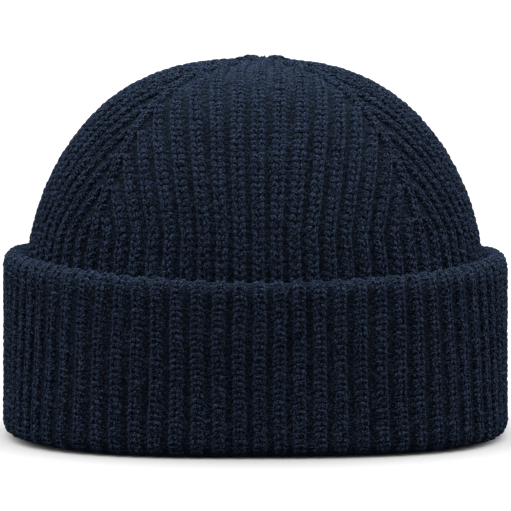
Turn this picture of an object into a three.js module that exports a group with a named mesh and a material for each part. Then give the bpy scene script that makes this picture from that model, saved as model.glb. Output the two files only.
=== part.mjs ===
// A ribbed wool beanie with a doubled, turned-up cuff.
// Millimetres, +Z up, the front faces -Y. The origin is the middle of the plane it rests on.
//
// The knit is one layer of rib. Four fashioning lines divide the crown into four panels.
// Each panel's ribs run straight up until a line cuts them off, and one rib runs along each line.
import * as THREE from 'three';

// Driving dimensions
const CUFF_WIDTH = 200; // outside the cuff, left to right
const CUFF_DEPTH = 188; // outside the cuff, front to back
const CUFF_HEIGHT = 67.5; // resting plane to the top of the lip, at the front
const TOTAL_HEIGHT = 148; // resting plane to the top of the dome
const WIDEST_LEVEL = 68.5; // height at which the dome starts to draw in
const FASHION_LEVEL = 84; // height at which the ribs start to run out

const KNIT_WALL = 2.8; // one layer of the knit, from its inner face to a furrow
const RIB_DEPTH = 2; // furrow to rib crest
const SEAT_GAP = 0.35; // clearance between the crown and the cuff
const FOLD_RADIUS = 6.5; // outer corner of the fold that the cap rests on
const INNER_FOLD_RADIUS = 2.5; // inner corner of the same fold
const LIP_ROUNDING = 7; // height over which the cuff's lip is rounded

const RIBS_PER_PANEL = 20;
const PANELS = 4;
const APEX_RADIUS = 5; // the ribs that are left meet on a ring this far from the apex

const KNIT_TURN = 0.9; // degrees that the panels are turned towards +X
const APEX_SHIFT = 3.6; // how far the drawn-together point lies off the middle, towards +X
const PUFF_HEIGHT = 1.5; // how far the gathered rib ends stand up round the apex
const DIMPLE_DEPTH = 1.5; // hollow in the middle of them
const LIP_SWEEP = 5.3; // how much higher the lip is at the sides than at the front
const LIP_TILT = 1.2; // how much higher the lip is on the -X side than on the +X side

// The dome's outline follows (height share)^RISE_POWER + (width share)^WIDTH_POWER = 1.
const RISE_POWER = 1.62;
const WIDTH_POWER = 2.68;

// How square the plan is at each level: 2 is an ellipse, more is squarer.
const PLAN = [
  { level: 0, power: 2.6 },
  { level: CUFF_HEIGHT, power: 2.2 },
  { level: TOTAL_HEIGHT, power: 2 },
];

// A rib's height from one crest to the next, as shares of the rib depth
const RIB_SHAPE = [1, 0.78, 0, 0.78];

// Sizes that follow from those
const LAYER = KNIT_WALL + RIB_DEPTH;
const CUFF_THICKNESS = 2 * LAYER; // the cuff is two layers of knit
const CROWN_INSET = CUFF_THICKNESS + SEAT_GAP;
const RIM_THICKNESS = CROWN_INSET + LAYER; // the crown's band and the cuff together
const CROWN_FOOT = LAYER + SEAT_GAP; // the crown's lower edge stands on the fold
const HALF_WIDTH = CUFF_WIDTH / 2 - CROWN_INSET;
const HALF_DEPTH = CUFF_DEPTH / 2 - CROWN_INSET;
const MEAN_HALF = (HALF_WIDTH + HALF_DEPTH) / 2;
const DOME_RISE = TOTAL_HEIGHT - WIDEST_LEVEL;
const HALF_PANEL = RIBS_PER_PANEL / 2;
const PER_RIB = RIB_SHAPE.length;
const ROUND = PANELS * RIBS_PER_PANEL; // ribs round the band
const INNER_COLUMNS = ROUND / 2;

const lerp = (a, b, t) => a + (b - a) * t;

// Reads one column of a table at a place along another column.
function readTable(rows, along, value, place) {
  const next = rows.findIndex((row) => row[along] >= place);
  if (next === 0) return rows[0][value];
  if (next < 0) return rows[rows.length - 1][value];
  const [a, b] = [rows[next - 1], rows[next]];
  return lerp(a[value], b[value], (place - a[along]) / (b[along] - a[along]));
}

// Radius of the unit plan at an angle that runs from the front towards +X.
function planRadius(angle, power) {
  return (Math.abs(Math.sin(angle)) ** power + Math.abs(Math.cos(angle)) ** power) ** (-1 / power);
}

function planPoint(angle, halfWidth, halfDepth, level) {
  const r = planRadius(angle, readTable(PLAN, 'level', 'power', level));
  const x = halfWidth * r * Math.sin(angle);
  const y = -halfDepth * r * Math.cos(angle);
  return new THREE.Vector3(x, y, level);
}

// The angle of a column on a ring whose first column lies on a fashioning line.
function columnAngle(column, columns) {
  return THREE.MathUtils.degToRad(KNIT_TURN) + (column / columns - 0.5 / PANELS) * 2 * Math.PI;
}

const furrowDepth = (column) => RIB_DEPTH * (1 - RIB_SHAPE[column % PER_RIB]);

// The dome's outline from its widest level to the apex, with the length along it.
function traceDome(steps = 600) {
  const rows = [];
  for (let i = 0; i <= steps; i++) {
    const turn = (i / steps) * (Math.PI / 2);
    const share = Math.cos(turn) ** (2 / WIDTH_POWER);
    const level = WIDEST_LEVEL + DOME_RISE * Math.sin(turn) ** (2 / RISE_POWER);
    const last = rows[rows.length - 1] ?? { share, level, length: 0 };
    const step = Math.hypot((share - last.share) * MEAN_HALF, level - last.level);
    rows.push({ share, level, length: last.length + step });
  }
  return rows;
}

const DOME = traceDome();
const DOME_LENGTH = DOME[DOME.length - 1].length;
const FASHION_START = readTable(DOME, 'level', 'length', FASHION_LEVEL);

function domeLevel(share) {
  return WIDEST_LEVEL + DOME_RISE * Math.max(0, 1 - share ** WIDTH_POWER) ** (1 / RISE_POWER);
}

// Outward direction of the dome's outline: x away from the axis, y up.
function domeNormal(share) {
  const inner = Math.max(share - 0.01, 0);
  const outer = Math.min(share + 0.01, 1);
  const fall = domeLevel(inner) - domeLevel(outer);
  return new THREE.Vector2(fall, (outer - inner) * MEAN_HALF).normalize();
}

// Slides a place on the dome towards +X: fully at the apex, not at all at the widest level.
function slideToApex(angle, share) {
  const power = readTable(PLAN, 'level', 'power', domeLevel(share));
  const r = share * planRadius(angle, power);
  const u = r * Math.sin(angle) + (APEX_SHIFT / HALF_WIDTH) * (1 - share) ** 2;
  const v = r * Math.cos(angle);
  const moved = Math.atan2(u, v);
  return { angle: moved, share: Math.hypot(u, v) / planRadius(moved, power) };
}

// A point of the dome, at a depth below the rib crests.
function domePoint(angle, share, depth) {
  const place = slideToApex(angle, share);
  const normal = domeNormal(place.share);
  const halfWidth = Math.max(0, HALF_WIDTH * place.share - depth * normal.x);
  const halfDepth = Math.max(0, HALF_DEPTH * place.share - depth * normal.x);
  const point = planPoint(place.angle, halfWidth, halfDepth, domeLevel(place.share));
  point.z -= depth * normal.y;
  return point;
}

function bandPoint(angle, level, depth) {
  return planPoint(angle, HALF_WIDTH - depth, HALF_DEPTH - depth, level);
}

// Adds a closed ring of vertices and returns their numbers, with the first one repeated at the end.
function addRing(points, columns, place) {
  const start = points.length;
  for (let column = 0; column < columns; column++) points.push(place(column));
  return Array.from({ length: columns + 1 }, (_, column) => start + (column % columns));
}

// Fills between two runs of vertices: match(i) is the place in `high` of the one above low[i].
function fillStrip(low, high, match) {
  const triangles = [];
  for (let i = 0; i + 1 < low.length; i++) {
    const [here, next] = [match(i), match(i + 1)];
    triangles.push([low[i], low[i + 1], high[next]]);
    if (next > here) triangles.push([low[i], high[next], high[here]]);
  }
  return triangles;
}

const turnedOver = (triangles) => triangles.map(([a, b, c]) => [a, c, b]);

// Fills between two closed rings. The finer one fans out onto the coarser one.
function joinRings(from, to) {
  if (from.length < to.length) return turnedOver(joinRings(to, from));
  const ratio = (to.length - 1) / (from.length - 1);
  return fillStrip(from, to, (i) => Math.round(i * ratio));
}

// Fills between two dome rings: each panel drops one rib on either side, at its fashioning lines.
function joinPanels(low, high) {
  const triangles = [];
  const across = { low: (low.length - 1) / PANELS, high: (high.length - 1) / PANELS };
  const dropped = (across.low - across.high) / 2;
  const match = (i) => THREE.MathUtils.clamp(i - dropped, 0, across.high);
  for (let panel = 0; panel < PANELS; panel++) {
    const lowRun = low.slice(panel * across.low, (panel + 1) * across.low + 1);
    const highRun = high.slice(panel * across.high, (panel + 1) * across.high + 1);
    triangles.push(...fillStrip(lowRun, highRun, match));
  }
  return triangles;
}

function capRing(ring, middle) {
  return fillStrip(ring, [middle], () => 0);
}

// The crown's outside: two plain rings up the band, then one ring for each rib that runs out.
function crownOutside(points) {
  const bandColumns = PER_RIB * ROUND;
  const bandRing = (level) =>
    addRing(points, bandColumns, (c) => bandPoint(columnAngle(c, bandColumns), level, furrowDepth(c)));
  const foot = bandRing(CROWN_FOOT);
  let below = bandRing(WIDEST_LEVEL);
  const triangles = joinRings(foot, below);

  for (let ribs = HALF_PANEL; ribs >= 1; ribs--) {
    const columns = 2 * PANELS * ribs * PER_RIB;
    const run = (HALF_PANEL - ribs) / (HALF_PANEL - 1);
    const length = lerp(FASHION_START, DOME_LENGTH - APEX_RADIUS, run);
    const share = readTable(DOME, 'length', 'share', length);
    const puff = ribs === 1 ? PUFF_HEIGHT : 0;
    const ring = addRing(points, columns, (c) => {
      const point = domePoint(columnAngle(c, columns), share, furrowDepth(c));
      point.z += puff * RIB_SHAPE[c % PER_RIB];
      return point;
    });
    triangles.push(...joinPanels(below, ring));
    below = ring;
  }

  points.push(domePoint(0, 0, DIMPLE_DEPTH));
  triangles.push(...capRing(below, points.length - 1));
  return { triangles, foot };
}

// The crown's inside: the same surface a layer deeper, without the ribs.
function crownInside(points, levels = 9) {
  const columns = INNER_COLUMNS;
  const foot = addRing(points, columns, (c) => bandPoint(columnAngle(c, columns), CROWN_FOOT, LAYER));
  const triangles = [];
  let below = foot;
  for (let i = 0; i < levels; i++) {
    const share = readTable(DOME, 'length', 'share', (i / levels) * DOME_LENGTH);
    const ring = addRing(points, columns, (c) => domePoint(columnAngle(c, columns), share, LAYER));
    triangles.push(...joinRings(below, ring));
    below = ring;
  }
  points.push(domePoint(0, 0, LAYER + DIMPLE_DEPTH));
  triangles.push(...capRing(below, points.length - 1));
  return { triangles: turnedOver(triangles), foot };
}

function toGeometry(points, triangles) {
  const geometry = new THREE.BufferGeometry();
  const positions = points.flatMap((point) => point.toArray());
  geometry.setAttribute('position', new THREE.Float32BufferAttribute(positions, 3));
  geometry.setIndex(triangles.flat());
  geometry.computeVertexNormals();
  return geometry;
}

function crownGeometry() {
  const points = [];
  const outside = crownOutside(points);
  const inside = crownInside(points);
  const edge = joinRings(inside.foot, outside.foot);
  return toGeometry(points, [...outside.triangles, ...inside.triangles, ...edge]);
}

// Rows round a corner of the cuff's section, between two directions in degrees: 0 points outwards,
// 90 up and -90 down. `inset` and `level` are its centre, and insets run in from the outside face.
function cornerRows({ inset, level, across, up, from, to, steps, part, ribs }) {
  return Array.from({ length: steps + 1 }, (_, i) => {
    const turn = THREE.MathUtils.degToRad(lerp(from, to, i / steps));
    const normal = { out: Math.cos(turn), up: Math.sin(turn) };
    return {
      inset: inset - across * normal.out,
      level: level + up * normal.up,
      normal,
      part,
      ribs: lerp(ribs[0], ribs[1], i / steps),
    };
  });
}

// The cuff's section, anticlockwise with the outside on the right: the inner corner of the fold,
// its outer corner, the outside face up to the lip, over the lip, and down to the crown's seat.
function cuffSection() {
  const innerCorner = {
    inset: RIM_THICKNESS - INNER_FOLD_RADIUS,
    level: INNER_FOLD_RADIUS,
    across: INNER_FOLD_RADIUS,
    up: INNER_FOLD_RADIUS,
    from: -180,
    to: -90,
    steps: 1,
    part: 'fold',
    ribs: [0, 0],
  };
  const outerCorner = {
    inset: FOLD_RADIUS,
    level: FOLD_RADIUS,
    across: FOLD_RADIUS,
    up: FOLD_RADIUS,
    from: -90,
    to: 0,
    steps: 3,
    part: 'fold',
    ribs: [0, 1],
  };
  const lip = {
    inset: LAYER,
    level: CUFF_HEIGHT - LIP_ROUNDING,
    across: LAYER,
    up: LIP_ROUNDING,
    from: 0,
    to: 180,
    steps: 5,
    part: 'lip',
    ribs: [1, 0],
  };
  const flat = { out: 0, up: 0 };
  return [
    ...cornerRows(innerCorner),
    ...cornerRows(outerCorner),
    ...cornerRows(lip),
    { inset: CUFF_THICKNESS, level: LAYER, normal: flat, part: 'fold', ribs: 0 },
    { inset: RIM_THICKNESS, level: LAYER, normal: flat, part: 'fold', ribs: 0 },
  ];
}

// The lip sweeps up to the sides and tilts a little from side to side.
function lipOffset(angle) {
  return LIP_SWEEP * Math.sin(angle) ** 2 - (LIP_TILT / 2) * Math.sin(angle);
}

function cuffPoint(row, angle, furrow) {
  const depth = row.ribs * furrow;
  const inset = row.inset + depth * row.normal.out;
  const level = row.level - depth * row.normal.up;
  const point = planPoint(angle, CUFF_WIDTH / 2 - inset, CUFF_DEPTH / 2 - inset, level);
  if (row.part === 'lip') point.z += lipOffset(angle);
  return point;
}

// The cuff: its section carried round the head, finely where the ribs show.
function cuffGeometry() {
  const points = [];
  const rings = cuffSection().map((row) => {
    const columns = row.ribs > 0 ? PER_RIB * ROUND : ROUND;
    return addRing(points, columns, (c) => cuffPoint(row, columnAngle(c, columns), furrowDepth(c)));
  });
  const triangles = rings.flatMap((ring, i) => joinRings(ring, rings[(i + 1) % rings.length]));
  return toGeometry(points, triangles);
}

function knitPiece(name, geometry) {
  const wool = new THREE.MeshStandardMaterial({ color: 0x1c2533, roughness: 0.95, metalness: 0 });
  const mesh = new THREE.Mesh(geometry, wool);
  mesh.name = name;
  return mesh;
}

const beanie = new THREE.Group();
beanie.add(knitPiece('crown', crownGeometry()));
beanie.add(knitPiece('cuff', cuffGeometry()));

export default beanie;
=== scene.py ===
import math

import bpy
import numpy as np
from bpy.props import FloatProperty, FloatVectorProperty, IntProperty, PointerProperty
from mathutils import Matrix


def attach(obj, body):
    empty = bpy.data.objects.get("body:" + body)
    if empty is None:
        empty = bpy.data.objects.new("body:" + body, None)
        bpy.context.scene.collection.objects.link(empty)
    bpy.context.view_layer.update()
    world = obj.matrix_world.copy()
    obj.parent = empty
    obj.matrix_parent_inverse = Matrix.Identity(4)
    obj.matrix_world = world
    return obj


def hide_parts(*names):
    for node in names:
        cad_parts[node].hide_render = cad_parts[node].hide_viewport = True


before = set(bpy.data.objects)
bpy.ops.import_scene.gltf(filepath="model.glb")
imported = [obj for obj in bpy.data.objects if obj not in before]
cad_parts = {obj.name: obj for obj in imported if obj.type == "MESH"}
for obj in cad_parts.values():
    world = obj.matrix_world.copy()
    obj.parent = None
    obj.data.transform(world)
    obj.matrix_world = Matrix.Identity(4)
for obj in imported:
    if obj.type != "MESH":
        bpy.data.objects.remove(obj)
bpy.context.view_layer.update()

bl_info = {
    "name": "Ribbed wool beanie",
    "version": (1, 0, 0),
    "blender": (4, 5, 0),
    "location": "3D View > Sidebar > Beanie",
    "description": "Builds a ribbed wool beanie with a turned-up cuff, on a pale floor",
    "category": "Add Mesh",
}

MM = 0.001
PANELS = 4

# How square the plan is at each level: 2 is an ellipse, more is squarer.
PLAN = {"level": (0.0, 0.0675, 0.148), "power": (2.6, 2.2, 2.0)}

# Painted sheen: the top band of the wool is painted lighter, for the fuzz catching the overhead light. How
# far down from the top it reaches, and by what share it is lighter there.
CROWN_PAINTED_SHEEN = {"band": 18 * MM, "share": 0.8}
CUFF_PAINTED_SHEEN = {"band": 7 * MM, "share": 0.7}

# Seeds of the uneven fields and of the stitches.
SEEDS = {
    "crown_stray": 3,
    "crown_depth": 5,
    "cuff_stray": 11,
    "cuff_depth": 12,
    "cuff_swell": 13,
    "stitches": 21,
}


# Settings


def length(name, description, millimetres):
    """A length that the sidebar shows, in scene units."""
    return FloatProperty(
        name=name, description=description, default=millimetres * MM, unit="LENGTH", precision=4
    )


def number(name, description, default):
    return FloatProperty(name=name, description=description, default=default, precision=3)


def colour(name, description, default):
    return FloatVectorProperty(
        name=name, description=description, default=default, subtype="COLOR", min=0, max=1
    )


class BeanieSizes(bpy.types.PropertyGroup):
    """Sizes of the cap. They are the solids' own sizes."""

    cuff_width: length("Cuff width", "Outside the cuff, left to right", 200)
    cuff_depth: length("Cuff depth", "Outside the cuff, front to back", 188)
    cuff_height: length("Cuff height", "To the top of the lip, at the front", 67.5)
    total_height: length("Total height", "To the top of the dome", 148)
    widest_level: length("Widest level", "Where the dome starts to draw in", 68.5)
    fashion_level: length("Fashion level", "Where the ribs start to run out", 84)
    knit_wall: length("Knit wall", "One layer, from its inner face to a furrow", 2.8)
    rib_depth: length("Rib depth", "Furrow to rib crest", 2.0)
    seat_gap: length("Seat gap", "Between the crown and the cuff", 0.35)
    fold_radius: length("Fold radius", "Outer corner of the fold", 6.5)
    inner_fold: length("Inner fold radius", "Inner corner of the fold", 2.5)
    lip_rounding: length("Lip rounding", "Height over which the lip is rounded", 7)
    apex_radius: length("Apex radius", "Ring on which the last ribs meet", 5)
    apex_shift: length("Apex shift", "Drawn-together point towards +X", 3.6)
    puff_height: length("Puff height", "Rise of the gathered rib ends", 1.5)
    dimple_depth: length("Dimple depth", "Hollow in the middle of them", 1.5)
    lip_sweep: length("Lip sweep", "Rise of the lip at the sides", 5.3)
    lip_tilt: length("Lip tilt", "Left side of the lip above the right", 1.2)
    rise_power: number("Rise power", "Dome outline's power of the height", 1.62)
    width_power: number("Width power", "Dome outline's power of the width", 2.68)
    knit_turn: FloatProperty(
        name="Knit turn", description="Panels turned towards +X",
        default=math.radians(0.9), subtype="ANGLE",
    )


class BeanieKnit(bpy.types.PropertyGroup):
    """The knit: how many ribs, how tall the stitches and how finely it is meshed."""

    ribs_per_panel: IntProperty(name="Ribs per panel", description="At the band", default=20)
    steps_per_rib: IntProperty(name="Steps per rib", description="Mesh columns", default=8)
    crown_row: length("Crown row", "Height of a stitch on the crown", 2.7)
    cuff_row: length("Cuff row", "Height of a stitch on the cuff", 2.2)
    mesh_row: length("Mesh row", "Distance between mesh rows", 1.15)
    fullness: number("Rib fullness", "Below 1 the ribs are fuller than a wave", 0.7)
    wander: number("Wander", "How far a rib strays, in ribs", 0.07)
    unevenness: number("Unevenness", "Variation of the rib depth", 0.16)
    leg_spread: number("Leg spread", "A leg's way out from the crest over its length, in ribs", 0.15)
    leg_width: number("Leg width", "Half the width of a leg of yarn, in ribs", 0.165)
    leg_length: number("Leg length", "A leg's length, in rows", 1.5)
    yarn_rise: length("Yarn rise", "Half the thickness of a leg of yarn", 0.8)
    yarn_bed: length("Yarn bed", "How far the knit lies under the tops of the stitches", 1.3)
    hidden_band: length("Hidden band", "Stitches start this far under the widest level", 14)


class BeanieColours(bpy.types.PropertyGroup):
    """Colours and finish of the wool and the floor."""

    yarn: colour("Yarn", "Main colour", (0.055, 0.086, 0.156))
    # Also the colour that the painted shade of the furrows and of the legs' hidden ends runs to.
    shade: colour("Shade", "Darker fibres", (0.0020, 0.0024, 0.0032))
    fuzz: colour("Fuzz", "Tint of the fibres that stand off the yarn", (0.32, 0.53, 1.0))
    fuzz_amount: number("Fuzz amount", "Sheen of those fibres", 0.15)
    floor: colour("Floor", "Pale floor", (0.86, 0.86, 0.86))


# Shapes


def plan_radius(angle, power):
    """Radius of the unit plan: (|sin|^power + |cos|^power)^(-1/power)."""
    return (np.abs(np.sin(angle)) ** power + np.abs(np.cos(angle)) ** power) ** (-1 / power)


def plan_points(angle, half_width, half_depth, level):
    """Points on the plan: half sizes times the plan's radius, along sine and minus cosine."""
    r = plan_radius(angle, np.interp(level, PLAN["level"], PLAN["power"]))
    x = half_width * r * np.sin(angle)
    y = -half_depth * r * np.cos(angle)
    return np.stack([x, y, level + np.zeros_like(r)], axis=-1)


class Dome:
    """The crown's outline, by the length along it. Below 0 it is the upright band.

    (height share)^rise power + (width share)^width power = 1, traced by a quarter turn t:
    width share = cos(t)^(2 / width power), height share = sin(t)^(2 / rise power).
    """

    def __init__(self, sizes):
        layer = sizes.knit_wall + sizes.rib_depth
        inset = 2 * layer + sizes.seat_gap
        self.sizes = sizes
        self.layer = layer
        self.half_width = sizes.cuff_width / 2 - inset
        self.half_depth = sizes.cuff_depth / 2 - inset
        mean_half = (self.half_width + self.half_depth) / 2
        t = np.linspace(0, math.pi / 2, 1500)
        self.share = np.cos(t).clip(0) ** (2 / sizes.width_power)
        rise = sizes.total_height - sizes.widest_level
        self.level = sizes.widest_level + rise * np.sin(t) ** (2 / sizes.rise_power)
        across = np.diff(self.share) * mean_half
        upwards = np.diff(self.level)
        steps = np.hypot(across, upwards)
        self.length = np.concatenate([[0], np.cumsum(steps)])
        self.end = self.length[-1]
        middle = (self.length[1:] + self.length[:-1]) / 2
        self.normal = (middle, upwards / steps, -across / steps)
        self.foot = layer + sizes.seat_gap - sizes.widest_level
        self.fashion_start = np.interp(sizes.fashion_level, self.level, self.length)

    def level_at(self, share):
        return np.interp(share, self.share[::-1], self.level[::-1])

    def points(self, angle, length, depth):
        """Points at a depth under the outline, slid towards +X by the apex shift times (1 - share)^2."""
        share = np.interp(length, self.length, self.share)
        level = np.interp(length, self.length, self.level) + np.minimum(length, 0)
        power = np.interp(level, PLAN["level"], PLAN["power"])
        r = share * plan_radius(angle, power)
        u = r * np.sin(angle) + self.sizes.apex_shift / self.half_width * (1 - share) ** 2
        v = r * np.cos(angle)
        moved = np.arctan2(u, v)
        moved_share = np.hypot(u, v) / plan_radius(moved, power)
        level = level + np.where(share < 1, self.level_at(moved_share) - self.level_at(share), 0)
        moved_length = np.interp(moved_share, self.share[::-1], self.length[::-1])
        at, out, up = self.normal
        out = np.where(share < 1, np.interp(moved_length, at, out), 1)
        up = np.where(share < 1, np.interp(moved_length, at, up), 0)
        half_width = (self.half_width * moved_share - depth * out).clip(0)
        half_depth = (self.half_depth * moved_share - depth * out).clip(0)
        points = plan_points(moved, half_width, half_depth, level)
        points[..., 2] -= depth * up
        return points


def waves(seed, angle, along, count=6, turns=9, length=0.05):
    """A slow uneven field from -1 to 1: the mean of sines round and along, with seeded phases."""
    rng = np.random.default_rng(seed)
    total = 0
    for _ in range(count):
        round_turns = rng.integers(-turns, turns + 1)
        pace = rng.uniform(-1, 1) * 2 * math.pi / length
        total = total + np.sin(round_turns * angle + pace * along + rng.uniform(0, 2 * math.pi))
    return total * 1.4 / count


def smooth(low, high, value):
    """An eased step: 3t^2 - 2t^3 of the share t of the way from low to high."""
    t = np.clip((value - low) / (high - low), 0, 1)
    return t * t * (3 - 2 * t)


def crest_distance(rib, line, begun):
    """How far a place lies from the nearest crest, 0 to 0.5 of a rib.

    Once the ribs have begun to run out, a crest lies along the fashioning line itself.
    """
    to_crest = np.abs(rib - np.round(rib))
    near_line = (1 - smooth(0.35, 0.85, line)) * begun
    return to_crest * (1 - near_line) + np.minimum(line, 0.5) * near_line


def rib_height(knit, away):
    """1 on a rib's crest and 0 in a furrow: a cosine wave of the distance from the crest."""
    return (0.5 + 0.5 * np.cos(2 * math.pi * away)) ** knit.fullness


def panel_columns(knit, sizes):
    """Each column's angle, and its share of the way from the panel's middle to its line, -1 to 1."""
    count = PANELS * knit.ribs_per_panel * knit.steps_per_rib
    column = np.arange(count)
    angle = sizes.knit_turn + (column / count - 0.5 / PANELS) * 2 * math.pi
    share = (column * PANELS / count) % 1 * 2 - 1
    return angle[None, :], share[None, :]


def fill_mesh(name, points, attributes, closed):
    """A mesh of a grid that closes round each row, and along the rows too or at a pole at each end."""
    rows, columns = points.shape[:2]
    grid = np.arange(rows * columns).reshape(rows, columns)
    low = grid if closed else grid[:-1]
    high = np.roll(grid, -1, axis=0) if closed else grid[1:]
    quads = np.stack([low, np.roll(low, -1, 1), np.roll(high, -1, 1), high], axis=-1)
    faces = quads.reshape(-1, 4).tolist()
    vertices = points.reshape(-1, 3)
    values = {key: value.reshape(-1) for key, value in attributes.items()}
    if not closed:
        first, last = len(vertices), len(vertices) + 1
        vertices = np.concatenate([vertices, points[0].mean(0)[None], points[-1].mean(0)[None]])
        values = {k: np.concatenate([v, v[:1], v[-1:]]) for k, v in values.items()}
        start = np.stack([np.roll(grid[0], -1), grid[0], np.full(columns, first)], axis=-1)
        end = np.stack([grid[-1], np.roll(grid[-1], -1), np.full(columns, last)], axis=-1)
        faces += start.tolist() + end.tolist()
    mesh = bpy.data.meshes.new(name)
    mesh.from_pydata(vertices.tolist(), [], faces)
    for key, value in values.items():
        layer = mesh.attributes.new(key, "FLOAT", "POINT")
        layer.data.foreach_set("value", value.astype(np.float32))
    mesh.shade_smooth()
    mesh.validate()
    return mesh


def add_piece(context, name, mesh, material, node):
    """The mesh as a piece that stands for a CAD node and moves with the cap."""
    piece = bpy.data.objects.new(name, mesh)
    context.collection.objects.link(piece)
    mesh.materials.append(material)
    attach(piece, "root")
    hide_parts(node)
    return piece


class Crown:
    """The crown's ribs on its dome.

    Each half panel holds as many ribs as its fashioning line leaves it at that length, so a rib's
    number is the share of the way to the line times that count, and the ribs run straight up.
    """

    def __init__(self, sizes, knit):
        self.sizes = sizes
        self.knit = knit
        self.dome = Dome(sizes)
        self.half_panel = knit.ribs_per_panel / 2
        self.last_ring = self.dome.end - sizes.apex_radius

    def run(self, length):
        """How far the ribs have run out: 0 where they begin to, 1 on the last ring."""
        start = self.dome.fashion_start
        return (length - start) / (self.last_ring - start)

    def ribs(self, length):
        """Ribs left in half a panel."""
        return self.half_panel - (self.half_panel - 1) * np.clip(self.run(length), 0, 1)

    def stray(self, angle, length, line):
        """How far the ribs stray sideways, in ribs. Beside a fashioning line they don't."""
        return self.knit.wander * waves(SEEDS["crown_stray"], angle, length, turns=14) * np.clip(line, 0, 1)

    def sunk(self, angle, length, crest):
        """Depth under the crests: the furrows, less the gathered ends at the top and their hollow."""
        uneven = 1 + self.knit.unevenness * waves(SEEDS["crown_depth"], angle, length, turns=20)
        depth = self.sizes.rib_depth * uneven
        from_apex = self.dome.end - length
        sideways = 0.6 + 0.4 * np.sin(angle) ** 2
        puff = np.exp(-(((from_apex - 4.5 * MM) / (5.0 * MM)) ** 2)) * sideways
        dimple = np.exp(-((from_apex / (2.0 * MM)) ** 2))
        gathered = smooth(11 * MM, 5 * MM, from_apex)
        furrow = depth * (1 - crest) * (1 - 0.75 * gathered)
        return furrow - puff * self.sizes.puff_height + dimple * self.sizes.dimple_depth


def crown_mesh(crown):
    """The crown as one closed shell: its inside from the apex down, then its outside back up."""
    sizes, knit, dome = crown.sizes, crown.knit, crown.dome
    angle, share = panel_columns(knit, sizes)
    inside = np.linspace(dome.end - 1.5 * MM, dome.foot, 26)
    band = np.array([dome.foot, -0.036, -0.016])
    outside = np.arange(-0.008, dome.end - 0.2 * MM, knit.mesh_row)
    length = np.concatenate([inside, band, outside])[:, None]
    within = np.arange(len(length))[:, None] < len(inside)

    ribs = crown.ribs(length)
    line = ribs * (1 - np.abs(share))
    rib = share * ribs + crown.stray(angle, length, line)
    away = crest_distance(rib, line, smooth(0, 0.02, crown.run(length)))
    crest = rib_height(knit, away)
    outer = crown.sunk(angle, length, crest) + knit.yarn_bed * crest
    inner = dome.layer - 0.35 * sizes.rib_depth * crest + crown.sunk(angle, length, 1.0)
    points = dome.points(angle, length, np.where(within, inner, outer))
    row = np.broadcast_to(length / knit.crown_row, away.shape)
    return fill_mesh("crown_knit", points, {"rib": rib, "away": away, "row": row}, closed=False)


def leg_form(knit, turned):
    """One leg of a stitch: a rounded strand with pointed ends, 3 rings of 5 points and 2 tips.

    Returns ribs across from the crest, rows up, the raise over the strand's middle in its own
    thickness, the columns for the material, and its triangles.
    """
    sides = 5
    t = np.concatenate([np.repeat([0.2, 0.52, 0.84], sides), [0, 1]])
    girth = np.concatenate([np.repeat([0.82, 1, 0.8], sides), [0, 0]])
    circle = (np.arange(sides) - 2) / sides * 2 * math.pi
    round_it = np.concatenate([np.tile(circle, 3), [0, 0]])
    across = 0.09 + knit.leg_spread * t + knit.leg_width * girth * np.sin(round_it)
    rows = (t - 0.1) * knit.leg_length
    dip = 0.75 * np.abs(t * 2 - 1) ** 3
    raised = girth * np.cos(round_it) - dip
    # Painted shade: 1 on the open top of the strand, darker on its flanks and towards its hidden ends.
    painted_unshaded = np.clip(0.5 + 0.5 * raised, 0, 1) * (1 - 0.7 * np.abs(t * 2 - 1.05) ** 2)
    ring = np.arange(sides)
    following = (ring + 1) % sides
    faces = []
    for low in (0, sides):
        high = low + sides
        faces.append(np.stack([low + ring, high + following, high + ring], axis=-1))
        faces.append(np.stack([low + ring, low + following, high + following], axis=-1))
    first_tip = np.full(sides, 3 * sides)
    last_tip = first_tip + 1
    faces.append(np.stack([following, ring, first_tip], axis=-1))
    faces.append(np.stack([2 * sides + ring, 2 * sides + following, last_tip], axis=-1))
    faces = np.concatenate(faces)
    if turned:
        rows = knit.leg_length * 0.8 - rows
        faces = faces[:, ::-1]
    columns = {"painted_unshaded": painted_unshaded, "strand": t, "around": round_it / math.pi}
    return across, rows, raised, columns, faces


def legs_mesh(name, knit, rib, row, turned, place):
    """Both legs of every stitch, each a closed strand, mirrored to either side of the rib's crest.

    place(rib numbers, offsets from the crest in ribs, rows, raise in metres) gives the points.
    """
    across, rows, raised, columns, faces = leg_form(knit, turned)
    rng = np.random.default_rng(SEEDS["stitches"])
    side = np.repeat([-1.0, 1.0], len(rib))[:, None]
    rib = np.tile(rib, 2)[:, None]
    row = np.tile(row, 2)[:, None]
    count = len(rib)
    width = rng.uniform(0.9, 1.12, (count, 1))
    lift = rng.uniform(-0.18, 0.18, (count, 1))
    started = rng.uniform(-0.3, 0.3, PANELS * knit.ribs_per_panel)[rib.astype(int)]
    slip = started + rng.uniform(-0.1, 0.1, (count, 1))
    offset = side * (across * width + rng.uniform(-0.015, 0.015, (count, 1)))
    points = place(rib, offset, row + rows + slip, knit.yarn_rise * (raised - 0.6 + lift))
    flipped = faces[:, ::-1]
    start = (np.arange(count) * len(across))[:, None, None]
    chosen = np.where(side[:, :, None] > 0, faces[None], flipped[None])
    mesh = bpy.data.meshes.new(name)
    mesh.from_pydata(points.reshape(-1, 3).tolist(), [], (start + chosen).reshape(-1, 3).tolist())
    columns["tone"] = np.clip(rng.normal(0.5, 0.2, (count, 1)), 0, 1)
    for key, value in columns.items():
        layer = mesh.attributes.new(key, "FLOAT", "POINT")
        every = np.broadcast_to(value, points.shape[:2])
        layer.data.foreach_set("value", every.reshape(-1).astype(np.float32))
    mesh.shade_smooth()
    mesh.validate()
    return mesh


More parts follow.
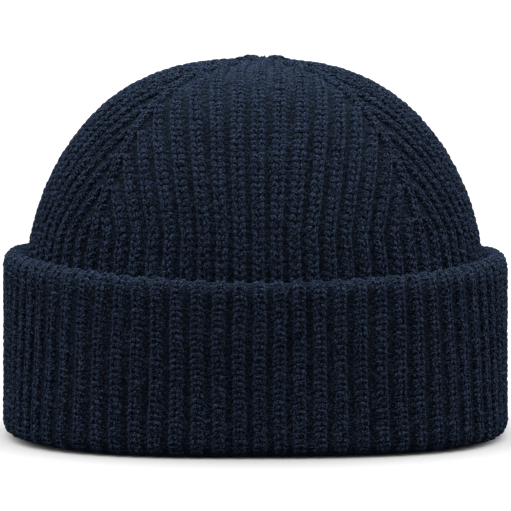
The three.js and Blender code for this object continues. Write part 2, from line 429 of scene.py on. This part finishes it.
def crown_legs(crown):
    """The stitches up every rib of the crown, each rib as far as the fashioning line it runs into.

    Rib numbers count from 0 in the first panel's middle, 20 to a panel; the tenth lies on a line.
    """
    knit, dome = crown.knit, crown.dome
    half = crown.half_panel
    rows = np.arange(-knit.hidden_band / knit.crown_row, (dome.end - 3.5 * MM) / knit.crown_row)
    numbers = np.arange(PANELS * knit.ribs_per_panel)
    rib, row = (grid.reshape(-1) for grid in np.meshgrid(numbers, rows, indexing="ij"))
    from_middle = (rib + half) % (2 * half) - half
    left = crown.ribs(row * knit.crown_row)
    kept = (np.abs(from_middle) < left - 0.6) | (from_middle == -half)
    rib, row = rib[kept], row[kept]

    def place(rib, offset, row, raised):
        length = np.minimum(row * knit.crown_row, dome.end - 0.5 * MM)
        from_middle = (rib + half) % (2 * half) - half
        panel = np.round((rib - from_middle) / (2 * half))
        ribs = crown.ribs(length)
        on_line = from_middle == -half
        share = np.where(on_line, -1, from_middle / ribs)
        middle = crown.sizes.knit_turn + panel * 2 * math.pi / PANELS
        half_turn = math.pi / PANELS
        line = ribs * (1 - np.abs(share))
        stray = crown.stray(middle + share * half_turn, length, line)
        angle = middle + (share + (offset - stray) / ribs) * half_turn
        crest = rib_height(knit, np.minimum(np.abs(offset), 0.5))
        return dome.points(angle, length, crown.sunk(angle, length, crest) - raised)

    return legs_mesh("crown_stitches", knit, rib, row, False, place)


def corner(inset, level, across, up, start, end, steps):
    """Rows round a corner of the cuff's section, from one direction to another in degrees.

    Direction 0 points outwards and 90 up: inset = centre - across cos, level = centre + up sin.
    """
    turn = np.radians(np.linspace(start, end, steps))
    out, rise = np.cos(turn), np.sin(turn)
    return np.stack([inset - across * out, level + up * rise, out, rise], axis=-1)


def cuff_rows(sizes, knit):
    """The cuff's section, anticlockwise with the outside on the right, from the inner fold corner.

    Columns: inset from the outside, level, normal outwards, normal upwards, rib share, lip share.
    """
    layer = sizes.knit_wall + sizes.rib_depth
    thickness = 2 * layer
    rim = thickness + sizes.seat_gap + layer
    lip_level = sizes.cuff_height - sizes.lip_rounding
    fold = sizes.fold_radius
    inner = sizes.inner_fold
    face = np.arange(fold + knit.mesh_row, lip_level - 0.5 * knit.mesh_row, 0.8 * knit.mesh_row)
    straight = np.stack([0 * face, face, 0 * face + 1, 0 * face], axis=-1)
    parts = [
        (corner(rim - inner, inner, inner, inner, -180, -90, 4), 0, 0),
        (np.array([[(rim - inner + fold) / 2, 0, 0, -1]]), 0.3, 0),
        (corner(fold, fold, fold, fold, -90, 0, 10), np.linspace(0.55, 1, 10), 0),
        (straight, 1, (face - fold) / (lip_level - fold)),
        (corner(layer, lip_level, layer, sizes.lip_rounding, 0, 180, 24), np.linspace(1, 0, 24), 1),
        (np.array([[thickness, 0.55 * lip_level, 0, 0], [thickness, layer, 0, 0]]), 0, (0.5, 0)),
        (np.array([[rim, layer, 0, 0]]), 0, 0),
    ]
    rows = []
    for section, ribs, lip in parts:
        extra = np.stack([ribs + np.zeros(len(section)), lip + np.zeros(len(section))], axis=-1)
        rows.append(np.concatenate([section, extra], axis=-1))
    return np.concatenate(rows)


class Cuff:
    """The cuff's closed section carried round the plan, by the length along the section.

    The lip rises by the sweep times sine squared and tilts by half the tilt times sine.
    """

    def __init__(self, sizes, knit):
        self.sizes = sizes
        self.knit = knit
        self.rows = cuff_rows(sizes, knit)
        steps = np.hypot(np.diff(self.rows[:, 0]), np.diff(self.rows[:, 1]))
        self.path = np.concatenate([[0], np.cumsum(steps)])

    def at(self, path):
        """Inset, level, normal outwards and upwards, rib share and lip share at a length."""
        return [np.interp(path, self.path, column) for column in self.rows.T]

    def stray(self, angle, path):
        return self.knit.wander * waves(SEEDS["cuff_stray"], angle, path, turns=14)

    def points(self, angle, path, crest, raised):
        """Points sunk along the section's normal in the furrows, with a slow unevenness all over."""
        inset, level, out, up, ribs, lip = self.at(path)
        uneven = 1 + self.knit.unevenness * waves(SEEDS["cuff_depth"], angle, path, turns=20)
        swell = 0.5 * MM * waves(SEEDS["cuff_swell"], angle, path, turns=5, length=0.15)
        sunk = ribs * (self.sizes.rib_depth * uneven * (1 - crest) + swell) - raised
        inset = inset + sunk * out
        level = level - sunk * up
        half_width = self.sizes.cuff_width / 2 - inset
        half_depth = self.sizes.cuff_depth / 2 - inset
        points = plan_points(angle, half_width, half_depth, level)
        sweep = self.sizes.lip_sweep * np.sin(angle) ** 2 - self.sizes.lip_tilt / 2 * np.sin(angle)
        points[..., 2] += lip * sweep
        return points


def cuff_mesh(cuff):
    """The cuff as one closed band."""
    knit = cuff.knit
    angle, share = panel_columns(knit, cuff.sizes)
    path = cuff.path[:, None]
    rib = share * knit.ribs_per_panel / 2 + cuff.stray(angle, path)
    away = np.abs(rib - np.round(rib))
    crest = rib_height(knit, away)
    ribs = cuff.at(path)[4]
    points = cuff.points(angle, path, crest, -knit.yarn_bed * crest * ribs)
    row = np.broadcast_to(path / knit.cuff_row, rib.shape)
    return fill_mesh("cuff_knit", points, {"rib": rib, "away": away, "row": row}, closed=True)


def cuff_legs(cuff):
    """The stitches up every rib of the cuff, upside down, from beside the fold to over the lip."""
    knit, sizes = cuff.knit, cuff.sizes
    outside = (cuff.rows[:, 1] > 1.0 * MM) & (cuff.rows[:, 4] > 0.05)
    first, last = cuff.path[outside][0], cuff.path[outside][-1]
    rows = np.arange(first / knit.cuff_row, last / knit.cuff_row)
    numbers = np.arange(PANELS * knit.ribs_per_panel)
    rib, row = (grid.reshape(-1) for grid in np.meshgrid(numbers, rows, indexing="ij"))

    def place(rib, offset, row, raised):
        path = row * knit.cuff_row
        angle = sizes.knit_turn + rib / len(numbers) * 2 * math.pi
        turned = (offset - cuff.stray(angle, path)) / len(numbers) * 2 * math.pi
        crest = rib_height(knit, np.minimum(np.abs(offset), 0.5))
        return cuff.points(angle + turned, path, crest, raised)

    return legs_mesh("cuff_stitches", knit, rib, row, True, place)


# Materials


class Wire:
    """A shader socket in an expression: each operator adds its Math node."""

    def __init__(self, tree, socket):
        self.tree = tree
        self.socket = socket

    @classmethod
    def node(cls, tree, kind, settings=None, inputs=None, output=0):
        """Adds a node, with its settings first and then its sockets' values or links."""
        made = tree.nodes.new(kind)
        for key, value in (settings or {}).items():
            setattr(made, key, value)
        for key, value in (inputs or {}).items():
            socket = made.inputs[key]
            if isinstance(value, Wire):
                tree.links.new(value.socket, socket)
            else:
                socket.default_value = value
        return cls(tree, made.outputs[output]) if made.outputs else None

    def math(self, operation, *others):
        inputs = dict(enumerate((self, *others)))
        return self.node(self.tree, "ShaderNodeMath", {"operation": operation}, inputs)

    def __add__(self, other):
        return self.math("ADD", other)

    def __sub__(self, other):
        return self.math("SUBTRACT", other)

    def __mul__(self, other):
        return self.math("MULTIPLY", other)

    def __truediv__(self, other):
        return self.math("DIVIDE", other)

    def __pow__(self, other):
        return self.math("POWER", other)

    def __rsub__(self, other):
        return (self * -1) + other

    __radd__ = __add__
    __rmul__ = __mul__


def eased(low, high, value):
    """An eased step of a wire, from 0 at low to 1 at high."""
    return Wire.node(
        value.tree,
        "ShaderNodeMapRange",
        {"interpolation_type": "SMOOTHSTEP"},
        {"Value": value, "From Min": low, "From Max": high},
    )


def blend(share, first, second):
    """Two colours, or wires of them, mixed by a share."""
    return Wire.node(
        share.tree, "ShaderNodeMix", {"data_type": "RGBA"}, {0: share, 6: first, 7: second}, output=2
    )


def noise(tree, place, scale, detail, roughness=0.5):
    return Wire.node(
        tree,
        "ShaderNodeTexNoise",
        None,
        {"Vector": place, "Scale": scale, "Detail": detail, "Roughness": roughness},
    )


def attribute(tree, name):
    return Wire.node(tree, "ShaderNodeAttribute", {"attribute_name": name}, None, output="Fac")


def painted_sheen_top(place, low, high):
    """0 below one level and 1 above another: the mask of the painted sheen, where the colour is painted
    lighter for the fibres that stand up and catch the overhead light.
    """
    level = Wire.node(place.tree, "ShaderNodeSeparateXYZ", None, {0: place}, output="Z")
    return eased(low, high, level)


def stitch_relief(away, row):
    """Height of the stitches, 0 to 1, and how far up its strand a place lies, in stitch rows.

    On the crest two legs of yarn meet in a V: each is a rounded strand whose rows climb outwards.
    In the furrow lie the bars of the purl rows.
    """
    across = (away / 0.27).math("MINIMUM", 1.0)
    climb = row - across * 0.75
    strand = (climb.math("FRACT") * math.pi).math("SINE") ** 0.6
    leg = ((across * 0.86 + 0.10) * math.pi).math("SINE") ** 0.5
    knit = leg * (strand * 0.6 + 0.4)
    bar = ((row + 0.35).math("FRACT") * math.pi).math("SINE") ** 0.8
    furrow = eased(0.22, 0.34, away)
    return knit * (1 - furrow) + bar * 0.3 * furrow, climb


def wool_surface(colours, tree, lightness, height, fuzz_share):
    """Matt wool: dark to bright by a lightness that holds the fibres' mottle and the painted shade and
    sheen, with a height in relief and a soft fuzz.
    """
    colour = blend(lightness * 0.4, (*colours.shade, 1), (*colours.yarn, 1))
    bump = Wire.node(
        tree, "ShaderNodeBump", None, {"Strength": 1.0, "Distance": 0.8 * MM, "Height": height}
    )
    surface = Wire.node(
        tree,
        "ShaderNodeBsdfPrincipled",
        None,
        {
            "Base Color": colour,
            "Normal": bump,
            "Roughness": 0.95,
            "Specular IOR Level": 0.04,
            "Sheen Weight": colours.fuzz_amount * fuzz_share,
            "Sheen Roughness": 0.5,
            "Sheen Tint": (*colours.fuzz, 1),
        },
    )
    Wire.node(tree, "ShaderNodeOutputMaterial", None, {"Surface": surface})


def shell_wool(colours, name, low, high, painted_sheen_share):
    """The knit under the stitches and in the furrows, with the purl bars in relief.

    The fibres are a noise that is stretched along the strands of yarn. Painted shade darkens the furrows
    and the low places between the stitches. From the low level to the high one that painted shade fades,
    and the colour is painted lighter by the painted sheen share, a painted sheen of fuzz in the overhead
    light.
    """
    material = bpy.data.materials.new(name)
    material.use_nodes = True
    tree = material.node_tree
    tree.nodes.clear()
    place = Wire.node(tree, "ShaderNodeTexCoord", output="Object")
    rib, away, row = (attribute(tree, key) for key in ("rib", "away", "row"))
    row = row + noise(tree, place, 110, 2) * 1.4
    relief, climb = stitch_relief(away, row)

    drift = Wire.node(tree, "ShaderNodeSeparateXYZ", None, {0: place}, output="X") * 30
    along = Wire.node(tree, "ShaderNodeCombineXYZ", None, {0: rib * 8, 1: climb * 6, 2: drift})
    fibres = eased(0.36, 0.64, noise(tree, along, 1, 1))
    grain = eased(0.40, 0.60, noise(tree, place, 2200, 0))
    tufts = noise(tree, place, 480, 3, 0.6)
    patches = noise(tree, place, 60, 2)

    top = painted_sheen_top(place, low, high)
    # Painted shade: the furrows and the low relief are painted darker, less so near the top.
    hollow = eased(0.2, 0.5, away) * (1 - top)
    painted_recess_light = (relief * 0.55 + 0.45) * (1 - hollow * 0.4) * 0.85
    mottle = fibres * grain * 4 * (eased(0.3, 0.7, tufts) * 0.9 + 0.55)
    # Painted sheen: the top band is painted lighter; the patches are random tone.
    lightness = painted_recess_light * mottle * (patches + 0.5) * (top * painted_sheen_share + 1)
    height = relief + tufts * 0.35 + fibres * 0.10 + grain * 0.06
    wool_surface(colours, tree, lightness, height, 0.7)
    return material


def stitch_wool(colours, name, low, high, painted_sheen_share):
    """The legs of the stitches: painted shade darkens their hidden ends and flanks, and each has its own
    tone.

    From the low level to the high one the colour is painted lighter by the painted sheen share, a painted
    sheen.
    """
    material = bpy.data.materials.new(name)
    material.use_nodes = True
    tree = material.node_tree
    tree.nodes.clear()
    place = Wire.node(tree, "ShaderNodeTexCoord", output="Object")
    painted_unshaded, tone, strand, around = (
        attribute(tree, key) for key in ("painted_unshaded", "tone", "strand", "around")
    )
    twisted = around * 2.2 + strand * 2.6
    along = Wire.node(
        tree, "ShaderNodeCombineXYZ", None, {0: strand * 2.0, 1: twisted * 2.2, 2: tone * 60}
    )
    streaks = eased(0.34, 0.66, noise(tree, along, 1, 1))
    fibres = eased(0.41, 0.59, noise(tree, place, 1600, 0))
    grain = eased(0.45, 0.55, noise(tree, place, 2600, 0))
    patches = noise(tree, place, 60, 2)
    mottle = fibres * (grain * 4.4 - 0.2) * (streaks * 0.7 + 0.65)
    # Random patches, and the top band painted lighter as a painted sheen.
    patches_and_painted_sheen = (patches + 0.5) * (painted_sheen_top(place, low, high) * painted_sheen_share + 1)
    # Painted shade on the legs' hidden ends and flanks, from the painted_unshaded attribute.
    lightness = (painted_unshaded * 0.5 + 0.5) * mottle * (tone * 0.8 + 0.6) * patches_and_painted_sheen
    height = streaks * 0.25 + fibres * 0.08 + grain * 0.04
    wool_surface(colours, tree, lightness, height, 1)
    return material


def flat_finish(name, tint, roughness):
    material = bpy.data.materials.new(name)
    material.use_nodes = True
    surface = material.node_tree.nodes["Principled BSDF"]
    surface.inputs["Base Color"].default_value = (*tint, 1)
    surface.inputs["Roughness"].default_value = roughness
    return material


# Operators


class BEANIE_OT_crown(bpy.types.Operator):
    """Adds the crown: the ribbed dome with its four fashioning lines and its drawn-together top"""

    bl_idname = "beanie.crown"
    bl_label = "Crown"

    def execute(self, context):
        scene = context.scene
        crown = Crown(scene.beanie_sizes, scene.beanie_knit)
        # The top band of the crown is painted lighter: a painted sheen.
        high = scene.beanie_sizes.total_height
        low = high - CROWN_PAINTED_SHEEN["band"]
        painted_sheen_share = CROWN_PAINTED_SHEEN["share"]
        shell = shell_wool(scene.beanie_colours, "crown_shell_wool", low, high, painted_sheen_share)
        stitches = stitch_wool(scene.beanie_colours, "crown_stitch_wool", low, high, painted_sheen_share)
        add_piece(context, "crown_knit", crown_mesh(crown), shell, "crown")
        add_piece(context, "crown_stitches", crown_legs(crown), stitches, "crown")
        return {"FINISHED"}


class BEANIE_OT_cuff(bpy.types.Operator):
    """Adds the cuff: the doubled, turned-up band with its fold and its rounded lip"""

    bl_idname = "beanie.cuff"
    bl_label = "Cuff"

    def execute(self, context):
        scene = context.scene
        cuff = Cuff(scene.beanie_sizes, scene.beanie_knit)
        # The top band of the cuff, over its lip, is painted lighter: a painted sheen.
        high = scene.beanie_sizes.cuff_height + 1 * MM
        low = high - CUFF_PAINTED_SHEEN["band"]
        painted_sheen_share = CUFF_PAINTED_SHEEN["share"]
        shell = shell_wool(scene.beanie_colours, "cuff_shell_wool", low, high, painted_sheen_share)
        stitches = stitch_wool(scene.beanie_colours, "cuff_stitch_wool", low, high, painted_sheen_share)
        add_piece(context, "cuff_knit", cuff_mesh(cuff), shell, "cuff")
        add_piece(context, "cuff_stitches", cuff_legs(cuff), stitches, "cuff")
        return {"FINISHED"}


class BEANIE_OT_stage(bpy.types.Operator):
    """Adds the pale floor, the soft studio light and the camera"""

    bl_idname = "beanie.stage"
    bl_label = "Stage"

    def execute(self, context):
        scene = context.scene
        scene.view_settings.view_transform = "Standard"
        self.add_floor(context)
        self.add_light(context)
        self.add_camera(context)
        return {"FINISHED"}

    def add_floor(self, context):
        """A wide level sheet just under the cap."""
        half, level = 12.0, -0.1 * MM
        mesh = bpy.data.meshes.new("floor")
        corners = [(-half, -half, level), (half, -half, level), (half, half, level), (-half, half, level)]
        mesh.from_pydata(corners, [], [(0, 1, 2, 3)])
        mesh.materials.append(flat_finish("pale_floor", context.scene.beanie_colours.floor, 1.0))
        floor = bpy.data.objects.new("floor", mesh)
        floor.visible_diffuse = False
        context.collection.objects.link(floor)

    def add_light(self, context):
        """Sky light only: brightest overhead, strong from the rear and the sides, faint in front."""
        world = bpy.data.worlds.new("studio")
        world.use_nodes = True
        tree = world.node_tree
        tree.nodes.clear()
        direction = Wire.node(tree, "ShaderNodeTexCoord", output="Generated")
        sideways, behind, upwards = (
            Wire.node(tree, "ShaderNodeSeparateXYZ", None, {0: direction}, output=axis)
            for axis in "XYZ"
        )
        overhead = upwards.math("MAXIMUM", 0.0) ** 1.5
        rear = behind.math("MAXIMUM", 0.0) ** 2
        around = rear * 1.6 + sideways * sideways * 0.7 + 0.11
        strength = overhead * 1.9 + 0.03 + eased(-0.2, 0.3, upwards) * around
        background = Wire.node(
            tree, "ShaderNodeBackground", None, {"Color": (1, 1, 1, 1), "Strength": strength}
        )
        Wire.node(tree, "ShaderNodeOutputWorld", None, {"Surface": background})
        context.scene.world = world

    def add_camera(self, context):
        """2 m from the cap and 4.6 degrees above it, as a long lens sees it."""
        pitch = math.radians(4.6)
        distance, view_width = 2.0, 0.2022
        aim = (0.0002, 0.0, 0.0700)
        data = bpy.data.cameras.new("camera")
        data.sensor_width = 36
        data.lens = 36 * distance / view_width
        data.clip_start, data.clip_end = 0.1, 50
        camera = bpy.data.objects.new("camera", data)
        camera.location = (
            aim[0], aim[1] - distance * math.cos(pitch), aim[2] + distance * math.sin(pitch)
        )
        camera.rotation_euler = (math.pi / 2 - pitch, 0, 0)
        context.collection.objects.link(camera)
        context.scene.camera = camera


class BEANIE_PT_sidebar(bpy.types.Panel):
    """Lists the pieces and their settings"""

    bl_idname = "BEANIE_PT_sidebar"
    bl_label = "Beanie"
    bl_space_type = "VIEW_3D"
    bl_region_type = "UI"
    bl_category = "Beanie"

    def draw(self, context):
        layout, scene = self.layout, context.scene
        for operator in OPERATORS:
            layout.operator(operator.bl_idname)
        for group in (scene.beanie_sizes, scene.beanie_knit, scene.beanie_colours):
            box = layout.box()
            for key in group.__annotations__:
                box.prop(group, key)


OPERATORS = (BEANIE_OT_crown, BEANIE_OT_cuff, BEANIE_OT_stage)
GROUPS = (BeanieSizes, BeanieKnit, BeanieColours)


def register():
    for cls in (*GROUPS, *OPERATORS, BEANIE_PT_sidebar):
        bpy.utils.register_class(cls)
    bpy.types.Scene.beanie_sizes = PointerProperty(type=BeanieSizes)
    bpy.types.Scene.beanie_knit = PointerProperty(type=BeanieKnit)
    bpy.types.Scene.beanie_colours = PointerProperty(type=BeanieColours)


def unregister():
    del bpy.types.Scene.beanie_sizes
    del bpy.types.Scene.beanie_knit
    del bpy.types.Scene.beanie_colours
    for cls in reversed((*GROUPS, *OPERATORS, BEANIE_PT_sidebar)):
        bpy.utils.unregister_class(cls)


def main():
    register()
    bpy.ops.beanie.crown()
    bpy.ops.beanie.cuff()
    bpy.ops.beanie.stage()


if __name__ == "__main__":
    main()
